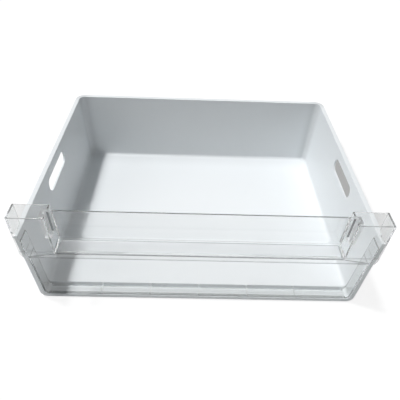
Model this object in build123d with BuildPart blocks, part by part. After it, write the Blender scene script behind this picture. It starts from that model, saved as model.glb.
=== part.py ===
from build123d import *
import os

os.makedirs("parts", exist_ok=True)

# Fridge drawer: a white moulded tub, open at the front, closed by a clear moulded front.
# X runs across the drawer, Y from front to back and Z up. The origin is on the underside,
# in the middle of the overall box.

# Tub: inside sizes at the rim, and the draft by which each wall leans in down to the floor.
rim_inside_width = 400.0
rim_inside_depth = 311.0
side_draft = 6.5
back_draft = 15.0
tub_height = 105.0
wall = 2.2
back_corner = 8.0
floor_fillet = 5.0
rim_flange = 6.2
rim_thick = 2.4
edge_round = 0.8

# Hand slots through the two side walls.
slot_length = 74.0
slot_height = 19.0
slot_middle_from_front = 141.0
slot_middle_below_rim = 22.0

# Socket at the tub's mouth that takes the clear front, and the flange that frames it.
socket_depth = 17.0
socket_drop = 4.5
socket_floor_step = 2.0
socket_rim_step = 0.2
socket_corner = 6.0
frame_band = 7.5
frame_side_band = 7.0
frame_corner = 10.0
frame_lip = 4.6
frame_round = 3.2

# Gutter in the socket's floor along the step down from the tub's floor, behind the bottom flange.
gutter_width = 4.0
gutter_depth = 4.5

# Runners under the floor, as deep as the frame, so that the drawer slides and stands level.
runner_inset = 43.5
runner_thick = 3.0
runner_from_front = 32.0
runner_from_back = 22.0
runner_ramp = 14.0

# Clear front: wall thicknesses and the room it has in the socket.
skin = 2.0
side_skin = 1.5
clearance = 0.2
lower_panel_set_back = 0.6
side_flange_below_rim = 8.0

# Ears: the full-height ends of the clear front, which stand over the rim.
ear_width = 40.8
ear_inset = 0.6
ear_depth = 21.8
ear_rise = 28.8
ear_drop = 9.3
ear_corner_cut = 2.6
ear_corner_rise = 7.0
ear_edge = 1.0

# Grip recess between the ears, with its ledge, back panel and the step down to the lower panel.
ledge_below_rim = 25.5
recess_fillet = 3.6
panel_below_ear = 9.5
panel_edge = 0.8
step_height = 12.5
foot_fillet = 2.0

# Upright guide grooves in the ears' inner walls, open at the top.
groove_width = 7.2
groove_depth = 5.1
groove_length = 32.0
groove_from_front = 6.2
groove_corner = 3.0
groove_wall = 1.8

# Ribs on the clear front's bottom flange.
rib_count = 5
rib_pitch = 62.2
rib_thick = 1.4

# Snap tongues that hang from the ears through notches in the rim.
notch_length = 8.0
notch_from_front = 5.0
tongue_reach = 9.0
barb = 1.2
barb_height = 3.0

# Levels and planes worked out from the sizes above.
floor_z = socket_drop + frame_band
rim_z = floor_z + tub_height
rest_z = rim_z + clearance
socket_z = floor_z - socket_drop
ear_top_z = rim_z + ear_rise
ledge_z = rim_z - ledge_below_rim
lip_z = ledge_z - skin
panel_top_z = ear_top_z - panel_below_ear
step_z = ledge_z - step_height
ear_low_z = ledge_z - ear_drop
side_flange_z = rim_z - side_flange_below_rim
rim_half = rim_inside_width / 2
floor_half = rim_half - side_draft
outer_half = rim_half + rim_flange
socket_floor_width = 2 * (floor_half + socket_floor_step)
socket_rim_width = 2 * (rim_half + socket_rim_step)
frame_floor_width = socket_floor_width + 2 * frame_side_band
ear_half = outer_half - ear_inset
recess_half = ear_half - ear_width
ear_inner = recess_half - skin
proud = skin + clearance
mouth_y = proud - (proud + rim_inside_depth + rim_flange) / 2
ear_front_y = mouth_y - proud
ear_back_y = ear_front_y + ear_depth
panel_back_y = ear_back_y + skin
lower_front_y = mouth_y + lower_panel_set_back
step_y = mouth_y + socket_depth
flange_back_y = step_y - clearance
gutter_half = socket_floor_width / 2 - socket_corner
rim_back_y = mouth_y + rim_inside_depth
floor_back_y = rim_back_y - back_draft
notch_y = mouth_y + notch_from_front
groove_y = ear_front_y + groove_from_front + groove_width / 2
runner_front_y = mouth_y + runner_from_front
runner_back_y = floor_back_y - runner_from_back

# How far a cut runs past what it cuts.
past = 20.0


def at_height(floor_size, rim_size, z):
    """A size that grows evenly from the floor's level to the rim's, taken at the height z."""
    return floor_size + (rim_size - floor_size) * (z - floor_z) / tub_height


def facing(y):
    """An upright plane across the drawer at y, with X to the right and Z up."""
    return Plane.XZ.offset(-y)


def across(low_z, high_z, floor_width, rim_width, grow=0.0):
    """A trapezoid seen from the front, drafted from its width at the floor to that at the rim."""
    low_half = at_height(floor_width, rim_width, low_z) / 2 + grow
    high_half = at_height(floor_width, rim_width, high_z) / 2 + grow
    Polygon((-low_half, low_z), (low_half, low_z), (high_half, high_z), (-high_half, high_z), align=None)


def along(low_z, high_z, front_y, grow=0.0):
    """The tub's outline seen from its side: upright at the front and leaning out at the back."""
    low_back = at_height(floor_back_y, rim_back_y, low_z) + grow
    high_back = at_height(floor_back_y, rim_back_y, high_z) + grow
    Polygon((front_y, low_z), (low_back, low_z), (high_back, high_z), (front_y, high_z), align=None)


def mouth_outline(low_z, high_z, floor_width, rim_width, corner, grow=0.0):
    """A trapezoid across the tub's mouth, drafted as the mouth is, with its lower corners rounded."""
    across(low_z, high_z, floor_width, rim_width, grow)
    fillet(vertices().group_by(Axis.Y)[0], corner)


def back_corners(solid):
    """The two upright edges of a drafted box's back face."""
    across_back = solid.faces().sort_by(Axis.Y)[-1].edges().sort_by(Axis.X)
    return [across_back[0], across_back[-1]]


def seat_half(z):
    """Half the width that the clear front may fill in the socket at the height z."""
    return at_height(socket_floor_width, socket_rim_width, z) / 2 - clearance


def seat_outline(low_z, inset):
    """The clear front's part in the socket, seen from the front and drawn in by inset."""
    grow = -clearance - inset
    mouth_outline(low_z, side_flange_z, socket_floor_width, socket_rim_width, socket_corner + grow, grow)


def gutter_plan(grow=0.0):
    """The gutter seen from above, along the step from the tub's floor to the socket's."""
    with Locations((0, step_y + grow)):
        Rectangle(2 * (gutter_half + grow), gutter_width + 2 * grow, align=(Align.CENTER, Align.MAX))


def corner_bit(y, z, radius, y_way, z_way):
    """What a round of that radius leaves of a square corner at y and z, seen from the side."""
    with Locations((y + y_way * radius / 2, z + z_way * radius / 2)):
        Rectangle(radius, radius)
    with Locations((y + y_way * radius, z + z_way * radius)):
        Circle(radius, mode=Mode.SUBTRACT)


def ear_outline(inner_z, low_z):
    """The right ear seen from the front: a lower edge that dips outward to a cut-off corner."""
    Polygon((ear_inner, inner_z), (ear_half - ear_corner_cut, low_z), (ear_half, low_z + ear_corner_rise),
            (ear_half, ear_top_z), (ear_inner, ear_top_z), align=None)


def middle_profile(front_y, foot_y, back_y):
    """The clear front between its ears seen from the side, with the step below its ledge."""
    Polygon((front_y, lip_z), (foot_y, step_z), (back_y, step_z), (back_y, ear_top_z),
            (front_y, ear_top_z), align=None)


def borders_grip(edge):
    """Whether an edge of the clear front's front face runs round the grip recess."""
    middle = edge.center()
    return abs(middle.X) < recess_half + skin and middle.Z > lip_z + ear_edge


# The space inside the tub, with its floor blended into the walls.
with BuildPart() as inside:
    with BuildSketch(facing(mouth_y - past)):
        across(floor_z, rim_z + past, 2 * floor_half, 2 * rim_half)
    extrude(amount=-(rim_inside_depth + 2 * past))
    with BuildSketch(Plane.YZ):
        along(floor_z, rim_z + past, mouth_y - past)
    extrude(amount=outer_half, both=True, mode=Mode.INTERSECT)
    fillet(back_corners(inside), back_corner)
    fillet(inside.edges().group_by(Axis.Z)[0], floor_fillet)

# The frame round the tub's mouth before the socket is cut: a plate with a round edge turned back.
with BuildPart() as frame:
    with BuildSketch(facing(mouth_y)):
        mouth_outline(0, rim_z - rim_thick, frame_floor_width, 2 * outer_half, frame_corner)
    extrude(amount=-frame_lip)
    fillet(frame.faces().sort_by(Axis.Y)[0].edges().sort_by(Axis.Z)[:-1], frame_round)
    with BuildSketch(facing(mouth_y + wall)):
        mouth_outline(wall, rim_z - rim_thick, frame_floor_width, 2 * outer_half, frame_corner - wall, -wall)
    extrude(amount=wall - frame_lip, mode=Mode.SUBTRACT)

# Tub: a drafted shell with a rim flange, and a stepped-out socket with its frame at the open front.
with BuildPart() as tub:
    with BuildSketch(facing(mouth_y)):
        across(floor_z - wall, rim_z, 2 * floor_half, 2 * rim_half, wall)
    extrude(amount=-(rim_inside_depth + past))
    with BuildSketch(Plane.YZ):
        along(floor_z - wall, rim_z, mouth_y, wall)
    extrude(amount=outer_half, both=True, mode=Mode.INTERSECT)
    fillet(back_corners(tub), back_corner + wall)
    fillet(tub.edges().group_by(Axis.Z)[0].sort_by(Axis.Y)[1:], floor_fillet + wall)
    with BuildSketch(facing(mouth_y)):
        mouth_outline(socket_z - wall, rim_z, socket_floor_width, socket_rim_width,
                      socket_corner + wall, wall)
    extrude(amount=-(socket_depth + wall))
    add(frame.part)
    with BuildSketch(Plane.XY.offset(socket_z)):
        gutter_plan(wall)
    extrude(amount=-(gutter_depth + wall))
    with BuildSketch(Plane.XY.offset(rim_z)) as rim:
        with Locations((0, mouth_y)):
            Rectangle(2 * outer_half, rim_inside_depth + rim_flange, align=(Align.CENTER, Align.MIN))
        fillet(rim.vertices().group_by(Axis.Y)[-1], back_corner + rim_flange)
        fillet(rim.vertices().group_by(Axis.Y)[0], 2 * edge_round)
    extrude(amount=-rim_thick)
    add(inside.part, mode=Mode.SUBTRACT)
    with BuildSketch(facing(mouth_y - past)):
        mouth_outline(socket_z, rim_z + past, socket_floor_width, socket_rim_width, socket_corner)
    extrude(amount=-(past + socket_depth), mode=Mode.SUBTRACT)
    with BuildSketch(Plane.XY.offset(socket_z)):
        gutter_plan()
    extrude(amount=-gutter_depth, mode=Mode.SUBTRACT)
    fillet(tub.faces().sort_by(Axis.Z)[-1].edges(), edge_round)
    with BuildSketch(Plane.YZ):
        with Locations((mouth_y + slot_middle_from_front, rim_z - slot_middle_below_rim)):
            SlotOverall(slot_length, slot_height)
    extrude(amount=outer_half, both=True, mode=Mode.SUBTRACT)
    with BuildSketch(Plane.XY.offset(rim_z)):
        with Locations((socket_rim_width / 2 + wall, notch_y)):
            Rectangle(rim_flange, notch_length, align=(Align.MIN, Align.MIN))
        mirror(about=Plane.YZ)
    extrude(amount=-rim_thick, mode=Mode.SUBTRACT)
    with BuildSketch(Plane.YZ.offset(floor_half - runner_inset)):
        Polygon((runner_front_y, 0), (runner_back_y - runner_ramp, 0), (runner_back_y, floor_z - wall),
                (runner_front_y, floor_z - wall), align=None)
    runner = extrude(amount=runner_thick / 2, both=True)
    mirror(runner, about=Plane.YZ)
tub.part.label = "tub"
export_step(tub.part, "parts/tub.step")

# The grip recess: a pocket open to the front and the top, with round inner corners.
with BuildPart() as recess:
    with BuildSketch(Plane.XY.offset(ledge_z)):
        with Locations((0, ear_back_y)):
            Rectangle(2 * recess_half, ear_depth + past, align=(Align.CENTER, Align.MAX))
    extrude(amount=ear_top_z + past - ledge_z)
    pocket_floor = recess.edges().group_by(Axis.Z)[0].sort_by(Axis.Y)[1:]
    pocket_corners = recess.edges().filter_by(Axis.Z).group_by(Axis.Y)[-1]
    fillet(pocket_floor + pocket_corners, recess_fillet)
    with BuildSketch(Plane.XY.offset(panel_top_z)):
        with Locations((0, ear_back_y)):
            Rectangle(2 * recess_half, ear_depth + past)
    extrude(amount=ear_top_z + past - panel_top_z)

# The space behind the clear front: under the ledge, between the side flanges and inside the ears.
with BuildPart() as hollow:
    with BuildSketch(facing(ear_front_y + skin)):
        ear_outline(lip_z, ear_low_z)
    with BuildSketch(facing(lower_front_y + skin)):
        ear_outline(step_z, step_z)
    loft(ruled=True)
    with BuildSketch(facing(lower_front_y + skin)):
        ear_outline(step_z, step_z)
    extrude(amount=-(ear_depth + past))
    mirror(about=Plane.YZ)
    with BuildSketch(Plane.YZ):
        middle_profile(ear_front_y + skin, lower_front_y + skin, ear_back_y + past)
    extrude(amount=ear_inner, both=True)
    with BuildSketch(facing(lower_front_y + skin)):
        seat_outline(socket_z + skin, side_skin)
    extrude(amount=-(ear_depth + past))
    with BuildSketch(facing(ear_front_y)):
        seat_outline(socket_z + skin, side_skin)
        with Locations((0, side_flange_z)):
            Rectangle(2 * (ear_half - skin), ear_top_z - skin - side_flange_z,
                      align=(Align.CENTER, Align.MIN))
        with Locations((0, lip_z)):
            Rectangle(2 * (recess_half + skin), ear_top_z - lip_z, align=(Align.CENTER, Align.MIN),
                      mode=Mode.SUBTRACT)
    extrude(amount=-(ear_depth + past), mode=Mode.INTERSECT)

# Clear front: one thin moulding of lower panel, seat flanges, ledge, grip panel and two ears.
with BuildPart() as clear_front:
    with BuildSketch(facing(ear_front_y)):
        ear_outline(lip_z, ear_low_z)
    with BuildSketch(facing(lower_front_y)):
        ear_outline(step_z, step_z)
    loft(ruled=True)
    with BuildSketch(facing(lower_front_y)):
        ear_outline(step_z, step_z)
    extrude(amount=lower_front_y - ear_back_y)
    mirror(about=Plane.YZ)
    with BuildSketch(Plane.YZ):
        middle_profile(ear_front_y, lower_front_y, ear_back_y)
    extrude(amount=ear_inner, both=True)
    with BuildSketch(facing(lower_front_y)):
        seat_outline(socket_z, 0)
    extrude(amount=lower_front_y - flange_back_y)
    with BuildSketch(facing(lower_front_y)):
        with Locations((0, lip_z)):
            Rectangle(2 * (recess_half + skin), panel_top_z - lip_z, align=(Align.CENTER, Align.MIN))
    extrude(amount=lower_front_y - panel_back_y)
    top_rim = clear_front.faces().sort_by(Axis.Z)[-1].edges().sort_by(Axis.Y)[:-1]
    front_corners = clear_front.edges().filter_by(Axis.Z).group_by(Axis.Y)[0]
    fillet(top_rim + front_corners, ear_edge)
    add(recess.part, mode=Mode.SUBTRACT)
    front_face = clear_front.faces().filter_by(Axis.Y).sort_by(Axis.Y)[0]
    fillet(front_face.edges().filter_by(borders_grip), ear_edge)
    fillet(clear_front.faces().sort_by(Axis.Y)[-1].edges().sort_by(Axis.Z)[-1], panel_edge)
    with BuildSketch(Plane.YZ):
        corner_bit(ear_back_y, panel_top_z, panel_edge, 1, -1)
    extrude(amount=recess_half - recess_fillet, both=True, mode=Mode.SUBTRACT)
    add(hollow.part, mode=Mode.SUBTRACT)
    with BuildSketch(Plane.XY.offset(socket_z)):
        gutter_plan()
    extrude(amount=skin, mode=Mode.SUBTRACT)
    with BuildSketch(Plane.YZ):
        corner_bit(panel_back_y, lip_z, recess_fillet + skin, -1, 1)
    extrude(amount=recess_half + skin, both=True, mode=Mode.SUBTRACT)
    with BuildSketch(Plane.YZ):
        corner_bit(lower_front_y + skin, socket_z + skin, foot_fillet, 1, 1)
    extrude(amount=gutter_half, both=True)
    for cut_y, inset in ((mouth_y - clearance, 0), (flange_back_y, side_skin)):
        with BuildSketch(facing(cut_y)):
            Polygon((seat_half(socket_z) - inset, socket_z), (seat_half(rest_z) - inset, rest_z),
                    (outer_half + past, rest_z), (outer_half + past, socket_z), align=None)
            mirror(about=Plane.YZ)
        extrude(amount=-(ear_depth + past), mode=Mode.SUBTRACT)
    with BuildSketch(Plane.XY.offset(ear_top_z)):
        with Locations((recess_half, groove_y)):
            Rectangle(groove_depth + groove_wall, groove_width + 2 * groove_wall,
                      align=(Align.MIN, Align.CENTER))
        mirror(about=Plane.YZ)
    extrude(amount=-(groove_length + groove_wall))
    with BuildSketch(Plane.XY.offset(ear_top_z)) as grooves:
        with Locations((recess_half + groove_depth, groove_y)):
            Rectangle(groove_depth + skin, groove_width, align=(Align.MAX, Align.CENTER))
        fillet(grooves.vertices().group_by(Axis.X)[-1], groove_corner)
        mirror(about=Plane.YZ)
    extrude(amount=-groove_length, mode=Mode.SUBTRACT)
    with BuildSketch(Plane.XY.offset(socket_z + skin)):
        with Locations((0, (lower_front_y + skin + flange_back_y) / 2)):
            with GridLocations(rib_pitch, rib_pitch, rib_count, 1):
                Rectangle(rib_thick, flange_back_y - lower_front_y - skin)
    extrude(amount=socket_drop - skin)
    with BuildSketch(Plane.YZ.offset(ear_half)):
        with Locations((notch_y + clearance, rim_z - tongue_reach)):
            Rectangle(notch_length - 2 * clearance, tongue_reach + ear_rise / 2,
                      align=(Align.MIN, Align.MIN))
        with Locations((notch_y + notch_length - clearance, rim_z - rim_thick - clearance)):
            Polygon((0, 0), (barb, 0), (0, -barb_height), align=None)
    tongue = extrude(amount=-skin)
    mirror(tongue, about=Plane.YZ)
clear_front.part.label = "clear_front"
export_step(clear_front.part, "parts/clear_front.step")
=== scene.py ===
import math

import bpy
from mathutils import Matrix, Vector

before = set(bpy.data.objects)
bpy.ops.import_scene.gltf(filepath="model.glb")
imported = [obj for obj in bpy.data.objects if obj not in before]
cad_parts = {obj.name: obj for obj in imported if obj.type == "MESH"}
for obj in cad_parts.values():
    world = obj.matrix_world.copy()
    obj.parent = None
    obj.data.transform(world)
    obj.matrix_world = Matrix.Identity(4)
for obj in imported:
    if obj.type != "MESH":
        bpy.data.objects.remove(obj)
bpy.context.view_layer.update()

# Tub: one injection moulding in opaque white polystyrene, open at the top and the front. The
# mould's faces are finely spark-eroded, which leaves a silky grain. Light is painted on the floor's
# middle to make it whiter, shade is painted into the folds at the back to make them greyer, and
# painted shade makes a grey line where the clear front stands.
white = (0.826, 0.856, 0.873)
shaded_white = (0.816, 0.846, 0.864)
painted_light_white = (0.868, 0.898, 0.914)
fold_shade_white = (0.67, 0.695, 0.71)
joint_shade_grey = (0.42, 0.43, 0.435)
polystyrene_ior = 1.5
moulded_roughness = (0.34, 0.46)

# A noise is its repeats to a metre, its detail and its roughness. Its values fill noise_span.
cloud_noise = (9.0, 3.0, 0.5)
smear_noise = (38.0, 4.0, 0.6)
grain_noise = (2100.0, 2.0, 0.5)
noise_span = (0.3, 0.7)
grain_height = 0.00004
grain_strength = 0.25

# The floor's painted light is whitest within the core's radius, and as white as the rest at the
# reach's.
painted_light_middle = (0.0, -0.04, 0.012)
painted_light_core = 0.05
painted_light_reach = 0.2

# A wall's fold lies at its distance from the middle, plus its lean for each metre of height.
side_fold = 0.1928
side_lean = 0.0619
back_fold = 0.1368
back_lean = 0.1429
corner_fold_reach = 0.02
floor_fold_reach = 0.035
floor_fold_share = 0.6

# A band is its middle and its reach to either side on one axis.
floor_z = (0.012, 0.0015)
joint_y = (-0.1542, 0.0018)
joint_z = (0.0075, 0.0002)


def emptied_tree(owner, output_kind):
    """The emptied node tree of a material or a world, and the surface socket of its new output."""
    owner.use_nodes = True
    tree = owner.node_tree
    tree.nodes.clear()
    return tree, tree.nodes.new(output_kind).inputs["Surface"]


def polystyrene(name):
    """A new plastic: its material, its node tree, its shader and its surface socket."""
    material = bpy.data.materials.new(name)
    tree, surface = emptied_tree(material, "ShaderNodeOutputMaterial")
    shader = tree.nodes.new("ShaderNodeBsdfPrincipled")
    shader.inputs["IOR"].default_value = polystyrene_ior
    return material, tree, shader, surface


def axes_of(tree, place):
    """A place's values across (X), along (Y) and up (Z)."""
    split = tree.nodes.new("ShaderNodeSeparateXYZ")
    tree.links.new(place, split.inputs["Vector"])
    return split.outputs


def noise(tree, place, scale, detail, roughness):
    """A noise texture on the object's own coordinates, with scale in repeats to a metre."""
    texture = tree.nodes.new("ShaderNodeTexNoise")
    texture.inputs["Scale"].default_value = scale
    texture.inputs["Detail"].default_value = detail
    texture.inputs["Roughness"].default_value = roughness
    tree.links.new(place, texture.inputs["Vector"])
    return texture.outputs["Fac"]


def spread(tree, value, start, end, low, high):
    """A value carried over in proportion, from the range start to end to the range low to high."""
    carried = tree.nodes.new("ShaderNodeMapRange")
    carried.inputs["From Min"].default_value = start
    carried.inputs["From Max"].default_value = end
    carried.inputs["To Min"].default_value = low
    carried.inputs["To Max"].default_value = high
    tree.links.new(value, carried.inputs["Value"])
    return carried.outputs["Result"]


def fading(tree, value, none, full):
    """A value turned into a soft share, from nought at none to one at full."""
    fade = tree.nodes.new("ShaderNodeMapRange")
    fade.interpolation_type = "SMOOTHSTEP"
    fade.inputs["From Min"].default_value = none
    fade.inputs["From Max"].default_value = full
    tree.links.new(value, fade.inputs["Value"])
    return fade.outputs["Result"]


def worked(tree, operation, first, second=0.0):
    """What an operation makes of two values, each of them a node's value or a number."""
    step = tree.nodes.new("ShaderNodeMath")
    step.operation = operation
    for value, socket in ((first, step.inputs[0]), (second, step.inputs[1])):
        if isinstance(value, float):
            socket.default_value = value
        else:
            tree.links.new(value, socket)
    return step.outputs["Value"]


def within(tree, *bands):
    """One where every value lies within reach of its band's middle, and nought elsewhere."""
    share = None
    for value, (middle, reach) in bands:
        near = tree.nodes.new("ShaderNodeMath")
        near.operation = "COMPARE"
        near.inputs[1].default_value = middle
        near.inputs[2].default_value = reach
        tree.links.new(value, near.inputs[0])
        inside = near.outputs["Value"]
        share = inside if share is None else worked(tree, "MULTIPLY", share, inside)
    return share


def tinted(tree, base, tint, share):
    """A base colour, fixed or from a node, that goes over to a tint by a share."""
    mix = tree.nodes.new("ShaderNodeMix")
    mix.data_type = "RGBA"
    if isinstance(base, tuple):
        mix.inputs["A"].default_value = (*base, 1)
    else:
        tree.links.new(base, mix.inputs["A"])
    mix.inputs["B"].default_value = (*tint, 1)
    tree.links.new(share, mix.inputs["Factor"])
    return mix.outputs["Result"]


def moulded_white():
    """White plastic, faintly cloudy over hand widths, with a grain of half a millimetre."""
    material, tree, shader, surface = polystyrene("moulded_white_plastic")
    tree.links.new(shader.outputs["BSDF"], surface)
    place = tree.nodes.new("ShaderNodeTexCoord").outputs["Object"]
    axes = axes_of(tree, place)

    clouds = noise(tree, place, *cloud_noise)
    colour = tinted(tree, shaded_white, white, spread(tree, clouds, *noise_span, 0.0, 1.0))

    # Painted light: the floor's middle is painted whiter.
    from_middle = tree.nodes.new("ShaderNodeVectorMath")
    from_middle.operation = "DISTANCE"
    from_middle.inputs[1].default_value = painted_light_middle
    tree.links.new(place, from_middle.inputs[0])
    in_painted_light = fading(tree, from_middle.outputs["Value"], painted_light_reach, painted_light_core)
    colour = tinted(tree, colour, painted_light_white, in_painted_light)

    # Painted shade: the fold at the floor's back and the back corners are painted greyer.
    aside = worked(tree, "ABSOLUTE", axes["X"])
    to_side = worked(tree, "SUBTRACT", aside, worked(tree, "MULTIPLY", axes["Z"], side_lean))
    to_back = worked(tree, "SUBTRACT", axes["Y"], worked(tree, "MULTIPLY", axes["Z"], back_lean))
    at_side = fading(tree, to_side, side_fold - corner_fold_reach, side_fold)
    at_back = fading(tree, to_back, back_fold - corner_fold_reach, back_fold)
    in_corner = worked(tree, "MULTIPLY", at_side, at_back)
    behind = fading(tree, to_back, back_fold - floor_fold_reach, back_fold)
    floor_end = worked(tree, "MULTIPLY", within(tree, (axes["Z"], floor_z)), behind)
    in_floor_fold = worked(tree, "MULTIPLY", floor_end, floor_fold_share)
    in_fold_shade = worked(tree, "MAXIMUM", in_corner, in_floor_fold)
    colour = tinted(tree, colour, fold_shade_white, in_fold_shade)

    # Painted shade: a grey line in the joint where the clear front stands.
    in_joint_shade = within(tree, (axes["Z"], joint_z), (axes["Y"], joint_y))
    colour = tinted(tree, colour, joint_shade_grey, in_joint_shade)
    tree.links.new(colour, shader.inputs["Base Color"])

    smears = noise(tree, place, *smear_noise)
    dullness = spread(tree, smears, *noise_span, *moulded_roughness)
    tree.links.new(dullness, shader.inputs["Roughness"])
    grain = tree.nodes.new("ShaderNodeBump")
    grain.inputs["Distance"].default_value = grain_height
    grain.inputs["Strength"].default_value = grain_strength
    tree.links.new(noise(tree, place, *grain_noise), grain.inputs["Height"])
    tree.links.new(grain.outputs["Normal"], shader.inputs["Normal"])
    return material


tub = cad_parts["tub"]
tub.data.materials.clear()
tub.data.materials.append(moulded_white())

# Clear front: one injection moulding in crystal polystyrene, pushed into the tub's socket until its
# tongues catch in the rim. It is polished, but for a satin ledge, ribs and guide grooves. Thin dark
# lines of painted shade lie at the ledge's back, at the foot of the step under it, and in the
# grooves.
clear_tint = (0.996, 1.0, 0.999)
satin_tint = (0.775, 0.781, 0.785)
shade_line_tint = (0.36, 0.365, 0.37)
groove_shade_tint = (0.06, 0.06, 0.062)
layer_tint = (0.942, 0.946, 0.944)
polished_roughness = (0.02, 0.06)
satin_roughness = (0.36, 0.44)
wipe_noise = (30.0, 3.0, 0.55)

# This share of the light goes straight on through the thin wall, and more at the front edge.
unbent_share = 0.07
front_edge_share = 0.5

ledge_front = -0.1597
ledge_level = 0.0915
ledge_z = (ledge_level, 0.0003)
ledge_line_z = (ledge_level + 0.00033, 0.00027)
step_line_z = (0.079, 0.0006)
front_edge_x = (0.0, 0.1648)
front_edge_y = (ledge_front + 0.0012, 0.0023)
front_edge_z = (ledge_level - 0.0011, 0.0016)
rib_pitch = 0.0622
rib_x = (0.0, 0.0008)
rib_z = (0.0109, 0.0013)
groove_x = (0.1678, 0.0044)
groove_y = (-0.1499, 0.0062)
groove_z = (0.1298, 0.0175)
groove_line_x = (0.1658, 0.0011)
groove_line_y = (-0.1463, 0.0006)
groove_line_z = (0.1284, 0.0146)


def shared(tree, first, second, share, surface):
    """A surface of two shaders, the second of them by a share and the first by the rest."""
    mix = tree.nodes.new("ShaderNodeMixShader")
    tree.links.new(share, mix.inputs["Fac"])
    tree.links.new(first, mix.inputs[1])
    tree.links.new(second, mix.inputs[2])
    tree.links.new(mix.outputs["Shader"], surface)


def crystal_clear():
    """Clear plastic that bends light, lets lamps through, and is wiped dull by a trace."""
    material, tree, shader, surface = polystyrene("crystal_clear_plastic")
    shader.inputs["Transmission Weight"].default_value = 1.0
    place = tree.nodes.new("ShaderNodeTexCoord").outputs["Object"]
    axes = axes_of(tree, place)

    from_rib = worked(tree, "PINGPONG", axes["X"], rib_pitch / 2)
    on_rib = within(tree, (from_rib, rib_x), (axes["Z"], rib_z))
    on_satin = worked(tree, "MAXIMUM", within(tree, (axes["Z"], ledge_z)), on_rib)
    on_ledge_line = within(tree, (axes["Z"], ledge_line_z))
    on_step_line = within(tree, (axes["Z"], step_line_z))
    on_shade_line = worked(tree, "MAXIMUM", on_ledge_line, on_step_line)
    aside = worked(tree, "ABSOLUTE", axes["X"])
    in_groove = within(tree, (aside, groove_x), (axes["Y"], groove_y), (axes["Z"], groove_z))
    on_groove_shade = within(
        tree, (aside, groove_line_x), (axes["Y"], groove_line_y), (axes["Z"], groove_line_z))

    colour = tinted(tree, clear_tint, satin_tint, on_satin)
    # Painted shade: thin dark lines at the ledge's back and the step's foot, and in the grooves.
    colour = tinted(tree, colour, shade_line_tint, on_shade_line)
    colour = tinted(tree, colour, groove_shade_tint, on_groove_shade)
    tree.links.new(colour, shader.inputs["Base Color"])

    wipes = noise(tree, place, *wipe_noise)
    polished = spread(tree, wipes, *noise_span, *polished_roughness)
    satin = spread(tree, wipes, *noise_span, *satin_roughness)
    dullness = tree.nodes.new("ShaderNodeMix")
    tree.links.new(worked(tree, "MAXIMUM", on_satin, in_groove), dullness.inputs["Factor"])
    tree.links.new(polished, dullness.inputs["A"])
    tree.links.new(satin, dullness.inputs["B"])
    tree.links.new(dullness.outputs["Result"], shader.inputs["Roughness"])

    rays = tree.nodes.new("ShaderNodeLightPath").outputs
    lamp_or_bounce = worked(tree, "MAXIMUM", rays["Is Shadow Ray"], rays["Is Diffuse Ray"])
    on_front_edge = within(
        tree, (axes["Y"], front_edge_y), (axes["Z"], front_edge_z), (axes["X"], front_edge_x))
    edge_share = worked(tree, "MULTIPLY", on_front_edge, front_edge_share)
    seen_unbent = worked(tree, "ADD", edge_share, unbent_share)
    unbent = worked(tree, "MAXIMUM", lamp_or_bounce, seen_unbent)
    see_through = tree.nodes.new("ShaderNodeBsdfTransparent")
    layer = tinted(tree, clear_tint, layer_tint, lamp_or_bounce)
    tree.links.new(layer, see_through.inputs["Color"])
    shared(tree, shader.outputs["BSDF"], see_through.outputs["BSDF"], unbent, surface)
    return material


clear_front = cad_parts["clear_front"]
clear_front.data.materials.clear()
clear_front.data.materials.append(crystal_clear())

# Table: a wide matt pale sheet that the drawer stands on. It looks white, and faintly so in the
# clear front, and it keeps the drawer's shadow. A soft painted shadow lies at the drawer's back
# right, where the sheet is greyer and glows less.
table_half_width = 6.0
table_white = 0.72
table_glow = 1.14
glow_share = 0.76
glass_share = 0.1
painted_shadow_grey = 0.2
painted_shadow_glow_share = 0.25

# The painted shadow is its middle on one axis, with how far it is full and where it ends.
painted_shadow_x = (0.19, 0.073, 0.105)
painted_shadow_y = (0.103, 0.05, 0.13)


def in_sight(tree, share_in_glass):
    """One where a thing is seen directly, and a share of one where it is seen in gloss or glass."""
    rays = tree.nodes.new("ShaderNodeLightPath").outputs
    in_glass = worked(tree, "MAXIMUM", rays["Is Glossy Ray"], rays["Is Transmission Ray"])
    dimmed = worked(tree, "MULTIPLY", in_glass, share_in_glass)
    return worked(tree, "MAXIMUM", rays["Is Camera Ray"], dimmed)


def white_table():
    """A matt pale sheet, part of whose brightness is its own where it is in sight."""
    material = bpy.data.materials.new("white_table")
    tree, surface = emptied_tree(material, "ShaderNodeOutputMaterial")
    axes = axes_of(tree, tree.nodes.new("ShaderNodeTexCoord").outputs["Object"])
    # Painted shadow: the sheet is greyer and glows less at the drawer's back right.
    clear_of = []
    for axis, (middle, full, end) in (("X", painted_shadow_x), ("Y", painted_shadow_y)):
        distance = worked(tree, "ABSOLUTE", worked(tree, "SUBTRACT", axes[axis], middle))
        clear_of.append(fading(tree, distance, full, end))
    outside_painted_shadow = worked(tree, "MAXIMUM", *clear_of)
    matt = tree.nodes.new("ShaderNodeBsdfDiffuse")
    pale = spread(tree, outside_painted_shadow, 0.0, 1.0, painted_shadow_grey, table_white)
    tree.links.new(pale, matt.inputs["Color"])
    glow = tree.nodes.new("ShaderNodeEmission")
    glow.inputs["Color"].default_value = (1, 1, 1, 1)
    glow.inputs["Strength"].default_value = table_glow
    glowing = spread(tree, outside_painted_shadow, 0.0, 1.0, painted_shadow_glow_share, glow_share)
    share = worked(tree, "MULTIPLY", in_sight(tree, glass_share), glowing)
    shared(tree, matt.outputs["BSDF"], glow.outputs["Emission"], share, surface)
    return material


corner = table_half_width
table_mesh = bpy.data.meshes.new("table")
table_mesh.from_pydata(
    [(-corner, -corner, 0), (corner, -corner, 0), (corner, corner, 0), (-corner, corner, 0)],
    [], [(0, 1, 2, 3)])
table_mesh.materials.append(white_table())
table = bpy.data.objects.new("table", table_mesh)
bpy.context.scene.collection.objects.link(table)

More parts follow.
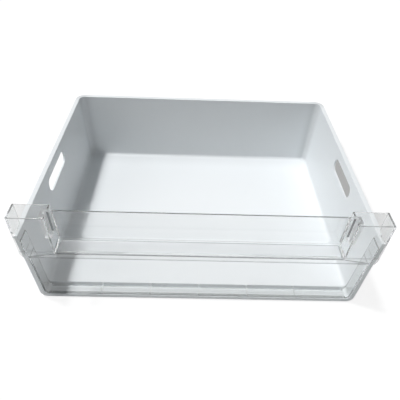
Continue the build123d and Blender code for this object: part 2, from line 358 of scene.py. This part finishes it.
# Light: an even pale room that looks white, and two soft lamps nearly overhead, a little to the
# left. A wide pale screen stands on the left, and a low card lightens the tub's left side. The
# levels are what reaches the drawer, where 1 shows a colour as it is written.
room_light = 0.165
room_tint = (0.97, 0.985, 1.0)
backdrop_light = 1.0
backdrop_in_glass = 1.0
lamp_spread = math.radians(5.0)
lamp_lean_back = math.radians(7.0)
lamp_level = 0.64
lamp_lean_left = math.radians(16.8)
second_level = 0.15
second_lean_left = math.radians(21.5)
screen_place = Vector((-2.0, -0.45, 1.3))
screen_width = 1.4
screen_level = 0.15
card_place = Vector((-0.75, -0.13, 0.02))
card_back = Vector((-1, 0, 0))
card_length = 0.4
card_height = 0.03
card_level = 0.12
tub_left = -0.2

world = bpy.data.worlds.new("pale_room")
bpy.context.scene.world = world
tree, surroundings = emptied_tree(world, "ShaderNodeOutputWorld")
room = tree.nodes.new("ShaderNodeBackground")
room.inputs["Color"].default_value = (*room_tint, 1)
room.inputs["Strength"].default_value = room_light
backdrop = tree.nodes.new("ShaderNodeBackground")
backdrop.inputs["Color"].default_value = (1, 1, 1, 1)
backdrop.inputs["Strength"].default_value = backdrop_light
shared(tree, room.outputs["Background"], backdrop.outputs["Background"],
       in_sight(tree, backdrop_in_glass), surroundings)


def hung(light, place, back):
    """A light at a place with its back to a direction, and not itself seen through glass."""
    lamp = bpy.data.objects.new(light.name, light)
    lamp.location = place
    lamp.rotation_euler = back.to_track_quat("Z", "Y").to_euler()
    lamp.visible_transmission = False
    bpy.context.scene.collection.objects.link(lamp)
    return lamp


def panel_energy(level, distance):
    """A flat light's power for a level at a distance: level, pi squared and distance squared."""
    return level * math.pi ** 2 * distance ** 2


for name, level, lean_left in (("overhead_lamp", lamp_level, lamp_lean_left),
                               ("second_lamp", second_level, second_lean_left)):
    lamp = bpy.data.lights.new(name, "SUN")
    lamp.angle = lamp_spread
    lamp.energy = level * math.pi
    toward_lamp = Vector((-math.tan(lean_left), math.tan(lamp_lean_back), 1.0)).normalized()
    hung(lamp, toward_lamp, toward_lamp)

screen = bpy.data.lights.new("left_screen", "AREA")
screen.shape = "SQUARE"
screen.size = screen_width
screen.energy = panel_energy(screen_level, screen_place.length)
hung(screen, screen_place, screen_place).visible_glossy = False

card = bpy.data.lights.new("low_card", "AREA")
card.shape = "RECTANGLE"
card.size = card_length
card.size_y = card_height
card.energy = panel_energy(card_level, tub_left - card_place.x)
hung(card, card_place, card_back).visible_glossy = False

# Camera: in front of the drawer and above it, a little left of its middle, and slightly rolled.
# Its place, angles and lens were fitted to the drawer's edges.
camera_place = (-0.0143, -0.4462, 0.4423)
camera_down = math.radians(42.67)
camera_right = math.radians(2.01)
camera_roll = math.radians(2.76)
camera_lens = 35.5
camera_sensor = 36.0
camera_nearest = 0.01

camera_data = bpy.data.cameras.new("camera")
camera_data.lens = camera_lens
camera_data.sensor_width = camera_sensor
camera_data.clip_start = camera_nearest
camera = bpy.data.objects.new("camera", camera_data)
turn = Matrix.Rotation(-camera_right, 3, "Z")
tip = Matrix.Rotation(math.radians(90) - camera_down, 3, "X")
roll = Matrix.Rotation(camera_roll, 3, "Z")
camera.location = camera_place
camera.rotation_euler = (turn @ tip @ roll).to_euler()
bpy.context.scene.collection.objects.link(camera)
bpy.context.scene.camera = camera
bpy.context.scene.view_settings.view_transform = "Standard"
